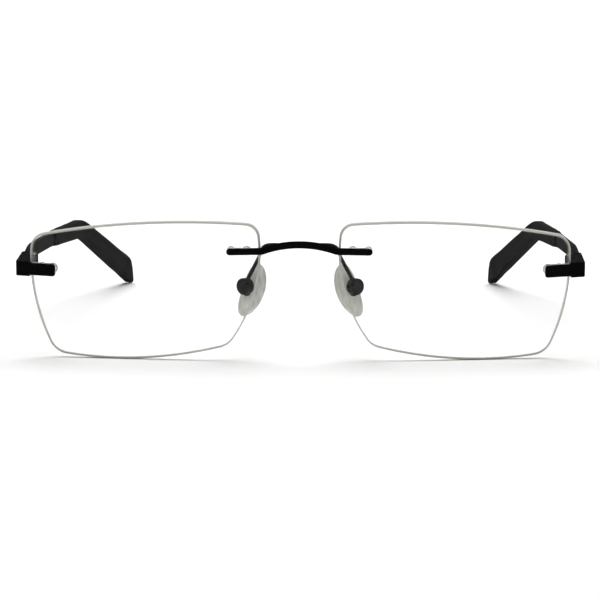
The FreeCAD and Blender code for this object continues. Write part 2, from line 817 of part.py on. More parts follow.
def tip_direction():
    pitch = math.radians(size("tip_pitch"))
    yaw = math.radians(size("tip_yaw"))
    return Vector(-math.sin(yaw) * math.cos(pitch), math.cos(yaw) * math.cos(pitch), -math.sin(pitch))


def bend_angle():
    return math.acos(start_direction().dot(tip_direction()))


def bend_frame():
    """The plane of the ear bend: X along the straight, Y the way it bends."""
    along = start_direction()
    tip = tip_direction()
    toward = (tip - along * tip.dot(along)).normalize()
    origin = Vector(size("sleeve_centre_x"), size("bar_end_y"), size("sleeve_centre_z"))
    return Placement(origin, Rotation(along, toward, along.cross(toward), "XYZ"))


def sleeve_length():
    return size("sleeve_straight") + size("bend_radius") * bend_angle() + size("tip_length")


def along_sleeve(distance):
    """Point and direction in the bend plane, at a distance along the sleeve's centre line."""
    straight = size("sleeve_straight")
    radius = size("bend_radius")
    angle = min(max((distance - straight) / radius, 0.0), bend_angle())
    rest = max(distance - straight - radius * bend_angle(), 0.0)
    run = min(distance, straight)
    x = run + radius * math.sin(angle) + rest * math.cos(angle)
    y = radius * (1 - math.cos(angle)) + rest * math.sin(angle)
    return Vector(x, y, 0), angle


def sleeve_station(distance):
    """Frame of a cross-section: X through the thickness, Y up the height."""
    point, angle = along_sleeve(distance)
    plane = bend_frame()
    turn = Rotation(plane.Rotation.multVec(Z_AXIS), math.degrees(angle))
    along = start_direction()
    outward = X_AXIS
    upward = along.cross(outward) * -1
    square = Rotation(outward, upward, outward.cross(upward), "XYZ")
    past_straight = max(distance - size("sleeve_straight"), 0.0)
    share = past_straight / (sleeve_length() - size("sleeve_straight"))
    roll = Rotation(Z_AXIS, size("tip_roll") * share)
    return Placement(plane.multVec(point), turn * square * roll)


def section(sketch, width, height, corner):
    """A rounded rectangle about the sketch's origin, its sizes given as expressions."""
    across = float(sketch.evalExpression(width)) / 2
    up = float(sketch.evalExpression(height)) / 2
    radius = float(sketch.evalExpression(corner))
    arcs = []
    for quarter, (x, y) in enumerate([(1, -1), (1, 1), (-1, 1), (-1, -1)]):
        centre = Vector(x * (across - radius), y * (up - radius), 0)
        start = math.radians(90 * (quarter - 1))
        arcs.append(Part.ArcOfCircle(Part.Circle(centre, Z_AXIS, radius), start, start + math.pi / 2))
    outline = []
    for before, arc in zip(arcs[-1:] + arcs[:-1], arcs):
        outline.append(Part.LineSegment(before.EndPoint, arc.StartPoint))
        outline.append(arc)
    index = sketch.addGeometry(outline)
    for piece, following in zip(index, index[1:] + index[:1]):
        limit(sketch, "Tangent", piece, END, following, START)
    for arc in index[3::2]:
        limit(sketch, "Equal", index[1], arc)
    limit(sketch, "Horizontal", index[0])
    limit(sketch, "Vertical", index[2])
    limit(sketch, "Radius", index[1], value=corner)
    place_point(sketch, index[0], START, f"{corner} - {width} / 2", f"-{height} / 2")
    place_point(sketch, index[4], START, f"{width} / 2 - {corner}", f"{height} / 2")


def bent_line(sketch, tip_length):
    """The core wire's centre line in the bend plane: straight, bend, straight."""
    straight = size("sleeve_straight")
    radius = size("bend_radius")
    bend_start = Vector(straight, 0, 0)
    bend_end, angle = along_sleeve(straight + radius * bend_angle())
    centre = Vector(straight, radius, 0)
    last_length = float(sketch.evalExpression(tip_length))
    tip = bend_end + Vector(math.cos(angle), math.sin(angle), 0) * last_length
    run, bend, last = sketch.addGeometry([
        Part.LineSegment(Vector(), bend_start),
        arc_between(centre, radius, bend_start, bend_end),
        Part.LineSegment(bend_end, tip),
    ])
    limit(sketch, "Coincident", run, START, *SKETCH_ORIGIN)
    limit(sketch, "Horizontal", run)
    limit(sketch, "Tangent", run, END, bend, START)
    limit(sketch, "Tangent", bend, END, last, START)
    limit(sketch, "DistanceX", *SKETCH_ORIGIN, run, END, value="Sheet.sleeve_straight")
    limit(sketch, "Radius", bend, value="Sheet.bend_radius")
    limit(sketch, "Distance", last, value=tip_length)
    sketch.addConstraint(Sketcher.Constraint("Angle", last, angle))


def pipe(body, kind, name, radius, tip_length):
    """Sweep a circle along the bent centre line, adding or removing material."""
    spine = add_sketch(body, name + "_line", offset=bend_frame())
    bent_line(spine, tip_length)
    profile = add_sketch(body, name + "_section", offset=sleeve_station(0))
    circle(profile, "0", "0", radius)
    swept = body.newObject(kind, name)
    swept.Profile = profile
    swept.Spine = (spine, ["Edge1", "Edge2", "Edge3"])
    return swept


def make_temple_bar():
    """The flat metal bar, with the core wire that runs on inside the plastic sleeve."""
    body = doc.addObject("PartDesign::Body", "temple_bar")
    body.Placement = temple_frame()
    beside = Placement(Vector(size("bar_inner_x"), 0, 0), Rotation(Vector(1, 1, 1), 120))
    outline = add_sketch(body, "bar_side_view", offset=beside)
    # the end leans with the sleeve, so that it is parallel to the sleeve's mouth
    lean = "- Sheet.sleeve_centre_z) * tan(Sheet.sleeve_pitch * 1 deg)"
    polygon(outline, [
        ("Sheet.bar_front_y", "Sheet.bar_front_low_z"),
        ("Sheet.bar_rise_y", "Sheet.bar_rise_low_z"),
        (f"Sheet.bar_end_y + (Sheet.bar_end_low_z {lean}", "Sheet.bar_end_low_z"),
        (f"Sheet.bar_end_y + (Sheet.bar_end_top_z {lean}", "Sheet.bar_end_top_z"),
        ("Sheet.bar_rise_y", "Sheet.bar_rise_top_z"),
        ("Sheet.bar_front_y", "Sheet.bar_front_top_z"),
    ])
    bar = body.newObject("PartDesign::Pad", "bar")
    bar.Profile = outline
    bind(bar, Length="Sheet.temple_bar_depth")

    def is_knee(edge):
        return is_straight_along(edge, X_AXIS) and abs(edge.CenterOfMass.y - size("bar_rise_y")) < 0.1

    eased = round_edges(body, bar, "knees", "Sheet.bar_knee_radius", is_knee)
    doc.recompute()

    def is_long_edge(edge):
        return not is_straight_along(edge, X_AXIS) and not is_straight_along(edge, Z_AXIS)

    round_edges(body, eased, "softened", "Sheet.bar_corner_edge", is_long_edge)
    pipe(body, "PartDesign::AdditivePipe", "core_wire", "Sheet.core_radius",
         "Sheet.tip_length - Sheet.core_short_of_end")
    pair(body, "temple_bar")


def sleeve_section(body, name, distance, inset=0.0, drop=0.0, pinch=0.0):
    """One cross-section of the plastic sleeve.

    It is drawn in by an inset all round and by a pinch at its two sides, and its top is lowered
    by a drop.
    """
    share = min(distance / sleeve_length(), 1.0)
    lowered = Placement(Vector(0, -drop / 2, 0), Rotation())
    sketch = add_sketch(body, name, offset=sleeve_station(distance) * lowered)
    width = f"(Sheet.sleeve_depth + (Sheet.tip_depth - Sheet.sleeve_depth) * {share:.4f}"
    height = f"(Sheet.sleeve_height + (Sheet.tip_height - Sheet.sleeve_height) * {share:.4f}"
    trim = f"- 2 * {inset:.3f}"
    corner = f"(Sheet.sleeve_corner - {inset:.3f})"
    section(sketch, f"{width} {trim} - 2 * {pinch:.3f})", f"{height} {trim} - {drop:.3f})", corner)
    return sketch


def loft_through(body, name, sketches, ruled=False):
    loft = body.newObject("PartDesign::AdditiveLoft", name)
    loft.Profile = sketches[0]
    loft.Sections = sketches[1:]
    loft.Ruled = ruled
    return loft


def make_temple_tip():
    """The plastic sleeve, lofted round the ear bend and bored for the core wire.

    It starts with a taper beside the bar, and its end is slanted and then rounded.
    """
    body = doc.addObject("PartDesign::Body", "temple_tip")
    body.Placement = temple_frame()
    start = size("sleeve_gap") + size("sleeve_taper")
    loft_through(body, "tapered_start", [
        sleeve_section(body, "taper_start", size("sleeve_gap"), pinch=size("sleeve_pinch")),
        sleeve_section(body, "taper_end", start),
    ], ruled=True)
    stop = sleeve_length() - size("tip_end_edge")
    slant_start = stop - size("tip_slant")
    steps = 12
    sections = []
    for step in range(steps + 1):
        distance = start + (slant_start - start) * step / steps
        sections.append(sleeve_section(body, f"section_{step}", distance))
    loft_through(body, "sleeve", sections)
    slants = []
    for step in range(7):
        share = step / 6
        # the top falls away slowly at first, which rounds its corner
        drop = size("tip_slant_drop") * share**1.4
        distance = slant_start + size("tip_slant") * share
        slants.append(sleeve_section(body, f"slant_{step}", distance, drop=drop))
    loft_through(body, "slanted_end", slants)
    rings = []
    for ring in range(4):
        turn = math.radians(25 * ring)
        distance = stop + size("tip_end_edge") * math.sin(turn)
        inset = size("tip_end_edge") * (1 - math.cos(turn))
        rings.append(sleeve_section(body, f"end_ring_{ring}", distance, inset, size("tip_slant_drop")))
    loft_through(body, "rounded_end", rings, ruled=True)
    pipe(body, "PartDesign::SubtractivePipe", "core_bore", "Sheet.core_bore_radius",
         "Sheet.tip_length - Sheet.core_short_of_end + 0.3")
    pair(body, "temple_tip")


# ---------------------------------------------------------------- nose pads

def pad_frame():
    """At the middle of the pad box: Z toward the pad, X toward the nose and Y up."""
    facing = math.radians(size("pad_facing"))
    normal = Vector(-math.cos(facing), math.sin(facing), 0)
    across = Z_AXIS.cross(normal)
    upright = Rotation(across, Z_AXIS, normal, "XYZ")
    origin = at(size("box_x"), size("box_y"), size("box_z"))
    return Placement(origin, upright)


def placed(kind, name, frame, local, **sizes):
    """One primitive, placed in a frame, with its sizes bound to expressions."""
    thing = doc.addObject(kind, name)
    bind(thing, **sizes)
    thing.Placement = frame * local
    return thing


def tilted_pad_frame():
    """The pad's own middle: beyond the neck, nearer the nose, leaning in at the top and lowered."""
    out = size("box_depth") / 2 + size("neck_length") - size("core_half_depth")
    lean = Rotation(Z_AXIS, -size("pad_tilt"))
    lowered = Placement(Vector(0, -size("pad_drop"), 0), Rotation())
    return pad_frame() * Placement(Vector(size("pad_shift"), 0, out), lean) * lowered


def across_box(name, radius, half_length):
    """A cylinder along the pad's rocking axis, centred on the box."""
    start = float(doc.getObject("Sheet").evalExpression(half_length))
    local = Placement(Vector(-start, 0, 0), Rotation(Y_AXIS, 90))
    return placed("Part::Cylinder", name, pad_frame(), local, Radius=radius, Height=f"2 * {half_length}")


def make_pad_box():
    """A round metal cup with a pointed lower corner, open in front, cross-drilled for the pin."""
    frame = pad_frame()
    half = size("box_depth") / 2
    back = Placement(Vector(0, 0, -half), Rotation())
    cup = placed("Part::Cylinder", "box_cup", frame, back,
                 Radius="Sheet.box_radius", Height="Sheet.box_depth")
    # a square set corner-down puts the point on the cup
    side = "Sheet.box_corner_reach / sqrt(2)"
    turned = Placement(Vector(0, 0, -half), Rotation(Z_AXIS, size("box_corner_angle") - 45))
    point = placed("Part::Box", "box_point", frame, turned,
                   Length=side, Width=side, Height="Sheet.box_depth")
    corner = Vector(-size("box_slot_width") / 2, -size("box_slot_height") / 2, size("box_floor") - half)
    slot = placed("Part::Box", "box_slot", frame, Placement(corner, Rotation()),
                  Length="Sheet.box_slot_width", Width="Sheet.box_slot_height",
                  Height="Sheet.box_depth")
    hole = across_box("box_pin_hole", "Sheet.pin_hole_radius", "(Sheet.box_radius + 0.5)")
    toward = Rotation(Z_AXIS, size("box_corner_angle")).multVec(X_AXIS)
    vent_place = Placement(toward * size("box_vent_reach") - Z_AXIS * (half + 1), Rotation())
    vent = placed("Part::Cylinder", "box_vent", frame, vent_place,
                  Radius="Sheet.box_vent_radius", Height="Sheet.box_depth + 2")
    solid = fuse("pad_box_solid", [cup, point])
    pair(cut("pad_box", solid, fuse("pad_box_cuts", [slot, hole, vent])), "pad_box")


def make_pad_pin():
    pair(across_box("pad_pin", "Sheet.pin_radius", "Sheet.pin_half_length"), "pad_pin")


def make_pad_arm():
    """A bent wire: brazed along the back of the arch, round behind the lens, down to the box."""
    radius = size("pad_wire_radius")
    crown_back = size("arch_crown_y") + size("bar_depth") / 2 + radius - size("braze")
    top = size("wire_top_z")
    start = size("wire_inner_x")
    leave = size("wire_leaves_arch_x")
    corner = at(size("wire_corner_x"), size("wire_corner_y"), size("wire_corner_z"))
    behind_box = -(size("box_depth") / 2 + radius - size("braze"))
    foot = pad_frame().multVec(Vector(size("wire_foot_across"), size("wire_foot_up"), behind_box))
    end = pad_frame().multVec(Vector(size("wire_end_across"), size("wire_end_up"), behind_box))
    path = []
    for x in (start, (start + leave) / 2, leave):
        path.append(at(x, crown_back + x**2 / (2 * size("plan_arch_radius")), top))
    # over the shoulder: mostly outward at first, then back and down to the corner behind the lens
    step = corner - path[-1]
    path.append(path[-1] + Vector(step.x * 0.5, step.y * 0.3, step.z * 0.12))
    path.append(path[2] + Vector(step.x * 0.85, step.y * 0.7, step.z * 0.5))
    # straight down to the box
    for share in (0.0, 0.33, 0.67, 1.0):
        path.append(corner + (foot - corner) * share)
    path.append(end)
    spine = Part.BSplineCurve()
    spine.interpolate(path)
    across = Part.Circle(path[0], spine.tangent(0)[0], radius)
    wire = Part.Wire(spine.toShape())
    swept = wire.makePipeShell([Part.Wire(across.toShape())], True, False)
    arm = doc.addObject("Part::Feature", "pad_arm")
    arm.Shape = swept
    pair(arm, "pad_arm")


def pad_core(name, gap, neck_radius):
    """The hard core of the pad: an oval plate on a neck, or the room that it needs."""
    oval = doc.addObject("Part::Ellipsoid", name + "_oval")
    bind(oval, Radius1=f"Sheet.core_half_depth + {gap}", Radius2=f"Sheet.core_half_width + {gap}",
         Radius3=f"Sheet.core_half_height + {gap}")
    oval.Placement = tilted_pad_frame()
    neck = placed("Part::Cylinder", name + "_neck", pad_frame(), Placement(), Radius=neck_radius,
                  Height="Sheet.box_depth / 2 + Sheet.neck_length - Sheet.core_half_depth")
    return [oval, neck]


def make_pad_insert():
    """The core with its neck and the barrel that turns on the pin."""
    barrel = across_box("insert_barrel", "Sheet.barrel_radius", "(Sheet.barrel_length / 2)")
    hole = across_box("insert_hole", "Sheet.pin_hole_radius", "Sheet.barrel_length")
    solid = fuse("insert_solid", pad_core("insert", "0", "Sheet.neck_radius") + [barrel])
    pair(cut("pad_insert", solid, hole), "pad_insert")


def make_nose_pad():
    cushion = doc.addObject("Part::Ellipsoid", "cushion")
    bind(cushion, Radius1="Sheet.pad_half_depth", Radius2="Sheet.pad_half_width",
         Radius3="Sheet.pad_half_height")
    cushion.Placement = tilted_pad_frame()
    room = fuse("pad_room", pad_core("room", "Sheet.core_gap", "Sheet.neck_radius + Sheet.core_gap"))
    pair(cut("nose_pad", cushion, room), "nose_pad")


def check_pieces():
    """Stop before anything is written if a feature failed or a piece isn't a sound solid."""
    failed = [thing.Name for thing in doc.Objects if {"Invalid", "Error"} & set(thing.State)]
    unsound = []
    for thing in finished:
        shape = thing.Shape
        if shape.isNull() or not shape.isValid() or len(shape.Solids) != 1:
            unsound.append(thing.Label)
    if failed or unsound:
        raise RuntimeError(f"failed features {failed}, unsound pieces {unsound}")


sheet = make_sheet(DIMENSIONS)
make_lens()
make_studs()
make_plugs()
make_bridge()
make_end_piece()
make_front_hinge()
make_temple_hinge()
make_hinge_screw()
make_temple_bar()
make_temple_tip()
make_pad_arm()
make_pad_box()
make_pad_pin()
make_pad_insert()
make_nose_pad()
doc.recompute()
check_pieces()
os.makedirs("parts", exist_ok=True)
for piece in finished:
    piece.Shape.exportStep(f"parts/{piece.Label}.step")
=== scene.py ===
import json
import math

import bmesh
import bpy
from mathutils import Matrix, Vector


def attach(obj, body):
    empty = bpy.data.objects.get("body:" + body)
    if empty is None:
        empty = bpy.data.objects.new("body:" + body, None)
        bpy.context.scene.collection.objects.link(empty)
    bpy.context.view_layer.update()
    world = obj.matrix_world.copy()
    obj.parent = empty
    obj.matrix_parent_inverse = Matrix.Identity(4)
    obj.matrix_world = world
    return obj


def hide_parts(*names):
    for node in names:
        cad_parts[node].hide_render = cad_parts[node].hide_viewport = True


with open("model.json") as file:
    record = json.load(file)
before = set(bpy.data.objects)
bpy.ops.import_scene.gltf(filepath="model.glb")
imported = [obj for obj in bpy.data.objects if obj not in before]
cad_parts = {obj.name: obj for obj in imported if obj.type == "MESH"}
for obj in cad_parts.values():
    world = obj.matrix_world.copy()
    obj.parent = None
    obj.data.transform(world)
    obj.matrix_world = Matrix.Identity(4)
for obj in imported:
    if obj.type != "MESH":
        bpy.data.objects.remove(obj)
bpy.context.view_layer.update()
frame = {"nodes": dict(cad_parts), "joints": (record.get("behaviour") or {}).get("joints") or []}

# Rimless eyeglasses on a pale studio floor. The frame brings every rigid part; this script adds
# the soft nose pads and the materials, and sets the floor, the light and the camera. Metres.

NODES = frame["nodes"]
MM = 0.001
SIDES = {"left": 1.0, "right": -1.0}


# ---------------------------------------------------------------- material helpers

class Tree:
    """A material's node tree, with short calls to add nodes and wire them up."""

    def __init__(self, name):
        self.material = bpy.data.materials.new(name)
        self.material.use_nodes = True
        self.tree = self.material.node_tree
        self.tree.nodes.clear()
        self.output = self.tree.nodes.new("ShaderNodeOutputMaterial")
        self.coordinates = self.tree.nodes.new("ShaderNodeTexCoord")

    def wire(self, socket, value):
        """Set an input to a plain value, or join it to another node's output."""
        if isinstance(value, bpy.types.NodeSocket):
            self.tree.links.new(value, socket)
        else:
            socket.default_value = value

    def add(self, kind, inputs=None, **settings):
        made = self.tree.nodes.new("ShaderNode" + kind)
        for name, value in settings.items():
            setattr(made, name, value)
        for name, value in (inputs or {}).items():
            self.wire(made.inputs[name], value)
        return made

    def math(self, operation, first, second=0.0, clamp=False):
        made = self.tree.nodes.new("ShaderNodeMath")
        made.operation = operation
        made.use_clamp = clamp
        self.wire(made.inputs[0], first)
        self.wire(made.inputs[1], second)
        return made.outputs[0]

    def noise(self, grain, detail=4.0, stretch=(1.0, 1.0, 1.0), roughness=0.5):
        """Noise in object space whose grain size is given in metres, from 0 to 1."""
        mapping = self.add("Mapping", {"Vector": self.coordinates.outputs["Object"], "Scale": stretch})
        made = self.add("TexNoise", {
            "Vector": mapping.outputs["Vector"], "Scale": 1.0 / grain,
            "Detail": detail, "Roughness": roughness,
        })
        return made.outputs["Fac"]

    def between(self, share, low, high):
        """Map a share from 0 to 1 onto low to high."""
        made = self.add("MapRange", {"Value": share, "To Min": low, "To Max": high})
        return made.outputs["Result"]

    def blend(self, share, first, second):
        made = self.tree.nodes.new("ShaderNodeMix")
        made.data_type = "RGBA"
        self.wire(made.inputs["Factor"], share)
        self.wire(made.inputs["A"], first)
        self.wire(made.inputs["B"], second)
        return made.outputs["Result"]

    def ramp(self, share, start, stop):
        """0 below start and 1 above stop, smooth between them."""
        made = self.add("MapRange", {"Value": share, "From Min": start, "From Max": stop},
                        interpolation_type="SMOOTHSTEP")
        return made.outputs["Result"]

    def edges(self, radius, start=0.01, stop=0.2):
        """1 on convex edges and 0 on flats, found by bevelling the normal over a radius.

        Start and stop are how far the normal has to lean, as one less its cosine.
        """
        soft = self.add("Bevel", {"Radius": radius}, samples=4)
        sharp = self.add("NewGeometry")
        dot = self.add("VectorMath", operation="DOT_PRODUCT")
        self.wire(dot.inputs[0], soft.outputs["Normal"])
        self.wire(dot.inputs[1], sharp.outputs["Normal"])
        return self.ramp(self.math("SUBTRACT", 1.0, dot.outputs["Value"]), start, stop)

    def bump(self, height, depth):
        """A normal bent by a height map, whose full range stands for a depth in metres."""
        made = self.add("Bump", {"Height": height, "Strength": 1.0, "Distance": depth})
        return made.outputs["Normal"]

    def principled(self, **inputs):
        named = {name.replace("_", " "): value for name, value in inputs.items()}
        return self.add("BsdfPrincipled", named).outputs["BSDF"]

    def mix(self, share, first, second):
        made = self.tree.nodes.new("ShaderNodeMixShader")
        self.wire(made.inputs[0], share)
        self.wire(made.inputs[1], first)
        self.wire(made.inputs[2], second)
        return made.outputs["Shader"]

    def finish(self, shader):
        self.wire(self.output.inputs["Surface"], shader)
        return self.material


def colour(red, green, blue):
    """An opaque colour, as the linear values that the shaders take."""
    return (red, green, blue, 1.0)


def paint(material, *names):
    """Give each named CAD node one material in place of its own."""
    for name in names:
        data = NODES[name].data
        data.materials.clear()
        data.materials.append(material)


def both(name):
    """The names of a piece's left and right nodes."""
    return [f"{name}_{side}" for side in SIDES]


# ---------------------------------------------------------------- materials

def black_lacquer():
    """Black baked lacquer over metal: fine orange peel, and a little metal at worn edges."""
    tree = Tree("black_lacquer")
    peel = tree.noise(0.25 * MM, detail=3.0)
    smudge = tree.noise(3.0 * MM, detail=2.0)
    patches = tree.ramp(tree.noise(0.6 * MM), 0.45, 0.75)
    wear = tree.math("MULTIPLY", tree.edges(0.12 * MM), patches)
    base = tree.blend(wear, colour(0.004, 0.004, 0.004), colour(0.016, 0.016, 0.0165))
    rough = tree.math("ADD", tree.between(smudge, 0.20, 0.32), tree.math("MULTIPLY", wear, 0.1))
    return tree.finish(tree.principled(
        Base_Color=base, Metallic=0.0, Roughness=rough, Specular_IOR_Level=0.06,
        Normal=tree.bump(peel, 0.002 * MM)))


def grey_plating():
    """Satin dark grey plating, drawn along the temple bars."""
    tree = Tree("grey_plating")
    drawn = tree.noise(0.08 * MM, detail=3.0, stretch=(1.0, 0.06, 1.0))
    smudge = tree.noise(4.0 * MM, detail=2.0)
    base = tree.blend(drawn, colour(0.024, 0.024, 0.025), colour(0.042, 0.042, 0.0435))
    return tree.finish(tree.principled(
        Base_Color=base, Metallic=0.6, Specular_IOR_Level=0.2,
        Roughness=tree.between(smudge, 0.34, 0.48), Normal=tree.bump(drawn, 0.003 * MM)))


def dark_wire():
    """Dark satin plating on the pad arms and pad boxes, with faint tumbling marks."""
    tree = Tree("dark_wire")
    marks = tree.noise(0.15 * MM, detail=5.0, roughness=0.6)
    wear = tree.math("MULTIPLY", tree.edges(0.1 * MM), tree.ramp(marks, 0.4, 0.7))
    mottle = tree.ramp(tree.noise(0.45 * MM, detail=3.0), 0.4, 0.7)
    base = tree.blend(mottle, colour(0.018, 0.018, 0.0185), colour(0.038, 0.038, 0.039))
    worn = tree.blend(wear, base, colour(0.10, 0.10, 0.103))
    return tree.finish(tree.principled(
        Base_Color=worn, Metallic=0.3, Specular_IOR_Level=0.2, Roughness=tree.between(marks, 0.3, 0.45),
        Normal=tree.bump(marks, 0.004 * MM)))


def turned_steel(name, tone, roughness):
    """Bare turned steel with a fine grain, in a tone and a roughness that the grain raises."""
    tree = Tree(name)
    grain = tree.noise(0.05 * MM, detail=2.0)
    base = tree.blend(grain, colour(tone, tone, tone), colour(tone * 1.4, tone * 1.4, tone * 1.42))
    return tree.finish(tree.principled(
        Base_Color=base, Metallic=1.0, Roughness=tree.between(grain, roughness, roughness + 0.12),
        Normal=tree.bump(grain, 0.002 * MM)))


def sleeve_plastic():
    """Charcoal moulded plastic: fine spark-eroded grain, paler where it is handled."""
    tree = Tree("sleeve_plastic")
    grain = tree.noise(0.2 * MM, detail=3.0, roughness=0.55)
    mottle = tree.noise(1.6 * MM, detail=3.0)
    handled = tree.math("MULTIPLY", tree.edges(0.5 * MM), tree.ramp(mottle, 0.3, 0.7))
    base = tree.blend(mottle, colour(0.013, 0.013, 0.0135), colour(0.020, 0.020, 0.0205))
    rubbed = tree.blend(handled, base, colour(0.034, 0.034, 0.035))
    return tree.finish(tree.principled(
        Base_Color=rubbed, Roughness=tree.between(grain, 0.42, 0.6),
        Specular_IOR_Level=0.15, Normal=tree.bump(grain, 0.004 * MM)))


def see_through(tree, shader, tint):
    """Let a tinted share of the light for shadows and diffuse bounces pass straight through."""
    path = tree.add("LightPath")
    passing = tree.math("MAXIMUM", path.outputs["Is Shadow Ray"], path.outputs["Is Diffuse Ray"])
    clear = tree.add("BsdfTransparent", {"Color": colour(tint, tint, tint)})
    return tree.mix(passing, shader, clear.outputs["BSDF"])


# each lens's middle, and the half size of the patch there where the smooth normals are unsound
LENS_MIDDLE_X = 37.0 * MM
LENS_MIDDLE_Z = 16.4 * MM
LENS_MIDDLE_SIZE = 2.4 * MM
# how squarely a surface faces along the lens, as a cosine: ground edge below, polished face above
GROUND_BELOW = 0.86
POLISHED_ABOVE = 0.90
# the rim starts beyond this half width and half height, and is whole after the fade
RIM_HALF_WIDTH = 16.0 * MM
RIM_HALF_HEIGHT = 9.0 * MM
RIM_FADE = 2.0 * MM
# how strongly the ground edge's grey is painted onto the polished face, as a strip near the rim
PAINTED_BAND_STRENGTH = 0.7


def lens_resin(name, forward):
    """Clear coated resin with polished faces and a ground edge.

    The ground edge's grey is also painted onto the rim of the polished faces, as a strip that widens
    toward the temples, where the lens curves away: a painted image of the edge as it shows through
    the face. Forward is the way the lens faces.
    """
    tree = Tree(name)
    place = tree.add("SeparateXYZ", {"Vector": tree.coordinates.outputs["Object"]})
    outward = tree.math("ABSOLUTE", place.outputs["X"])
    across = tree.math("ABSOLUTE", tree.math("SUBTRACT", outward, LENS_MIDDLE_X))
    up = tree.math("ABSOLUTE", tree.math("SUBTRACT", place.outputs["Z"], LENS_MIDDLE_Z))
    middle = tree.math("LESS_THAN", tree.math("MAXIMUM", across, up), LENS_MIDDLE_SIZE)
    surface = tree.add("NewGeometry")
    normal = tree.blend(middle, surface.outputs["Normal"], surface.outputs["True Normal"])
    fresnel = tree.add("Fresnel", {"IOR": 1.16, "Normal": normal})
    bent = tree.add("BsdfRefraction", {
        "Color": colour(0.995, 1.0, 0.998), "Roughness": 0.0, "IOR": 1.5, "Normal": normal,
    })
    shine = tree.add("BsdfGlossy", {"Color": colour(0.85, 1.0, 0.9), "Roughness": 0.0, "Normal": normal})
    polished = tree.mix(fresnel.outputs["Fac"], bent.outputs["BSDF"], shine.outputs["BSDF"])
    clear = see_through(tree, polished, tint=0.85)
    grinding = tree.noise(0.07 * MM, detail=4.0, roughness=0.6)
    bands = tree.noise(0.5 * MM, detail=2.0)
    tone = tree.blend(bands, colour(0.52, 0.52, 0.475), colour(0.64, 0.64, 0.59))
    ground = tree.principled(
        Base_Color=tone, Roughness=0.5, IOR=1.5, Specular_IOR_Level=0.3,
        Normal=tree.bump(grinding, 0.01 * MM))
    # painted image of the ground edge seen through the face: a grey strip along the rim, wider toward
    # the temples
    toward_temple = tree.ramp(outward, 58 * MM, 64 * MM)
    width = tree.between(toward_temple, 0.4 * MM, 1.1 * MM)
    painted_band = tree.math("MULTIPLY", tree.edges(width, start=0.001, stop=0.01), PAINTED_BAND_STRENGTH)
    facing = tree.add("VectorMath", operation="DOT_PRODUCT")
    tree.wire(facing.inputs[0], tree.coordinates.outputs["Normal"])
    facing.inputs[1].default_value = forward
    flat_on = tree.math("ABSOLUTE", facing.outputs["Value"])
    on_edge = tree.math("SUBTRACT", 1.0, tree.ramp(flat_on, GROUND_BELOW, POLISHED_ABOVE))
    to_side = tree.ramp(across, RIM_HALF_WIDTH, RIM_HALF_WIDTH + RIM_FADE)
    to_top = tree.ramp(up, RIM_HALF_HEIGHT, RIM_HALF_HEIGHT + RIM_FADE)
    near_rim = tree.math("MAXIMUM", to_side, to_top)
    shown = tree.math("MULTIPLY", near_rim, tree.math("MAXIMUM", painted_band, on_edge))
    return tree.finish(tree.mix(shown, clear, ground))


def clear_plastic():
    """Clear moulded nylon, slightly milky, with flow marks."""
    tree = Tree("clear_plastic")
    flow = tree.noise(0.4 * MM, detail=3.0)
    body = tree.principled(
        Base_Color=colour(0.86, 0.86, 0.84), Roughness=tree.between(flow, 0.08, 0.25),
        Transmission_Weight=0.75, IOR=1.48, Normal=tree.bump(flow, 0.01 * MM))
    return tree.finish(see_through(tree, body, tint=0.9))


def silicone():
    """Soft translucent silicone: cloudy, with a dull skin, and painted shade where it turns away from
    the view.
    """
    tree = Tree("silicone")
    skin = tree.noise(0.2 * MM, detail=4.0)
    cloud = tree.noise(1.2 * MM, detail=3.0, stretch=(1.0, 1.0, 0.35))
    tone = tree.blend(tree.ramp(cloud, 0.3, 0.7), colour(0.58, 0.58, 0.54), colour(0.80, 0.80, 0.76))
    # painted shade: the tone darkens to near black toward the outline, where the surface turns away from
    # the view
    turning = tree.add("LayerWeight", {"Blend": 0.25})
    rim = tree.ramp(turning.outputs["Facing"], 0.35, 0.95)
    shaded = tree.blend(rim, tone, colour(0.16, 0.16, 0.15))
    body = tree.principled(
        Base_Color=shaded, Roughness=tree.between(skin, 0.3, 0.45), IOR=1.41,
        Subsurface_Weight=0.4, Subsurface_Radius=(0.6, 0.6, 0.55), Subsurface_Scale=2.0 * MM,
        Normal=tree.bump(skin, 0.008 * MM))
    through = tree.principled(
        Base_Color=colour(0.84, 0.84, 0.80), Roughness=0.35, IOR=1.2,
        Transmission_Weight=1.0, Normal=tree.bump(skin, 0.008 * MM))
    return tree.finish(tree.mix(0.35, body, through))


# ---------------------------------------------------------------- nose pads

PAD_WIDTH = 6.2 * MM
PAD_HEIGHT = 14.0 * MM
PAD_DEPTH = 2.6 * MM
# where the pad sits from its pin: along the pin, out toward the nose, turned and then lowered
PAD_SHIFT = 0.85 * MM
PAD_BEYOND_PIN = 2.5 * MM
PAD_TILT = math.radians(24)
PAD_DROP = 1.45 * MM
# the outline: its squareness (2 is an oval), how much fuller the top is, and its sideways bow
PAD_SQUARENESS = 2.15
PAD_FULLER = 0.08
PAD_BOW = 0.12
# the section, in shares of the half width outward and of the half depth forward
PAD_RIM_START = 0.93
PAD_RIM_FRONT = 0.25
PAD_RIM_BACK = -0.49
PAD_CROWN = 0.72
PAD_BACK_BULGE = 0.42
PAD_BACK_MIDDLE = -0.92
PAD_DISH_DEPTH = 0.32
PAD_DISH_AT = 0.72
PAD_DISH_SPREAD = 0.13


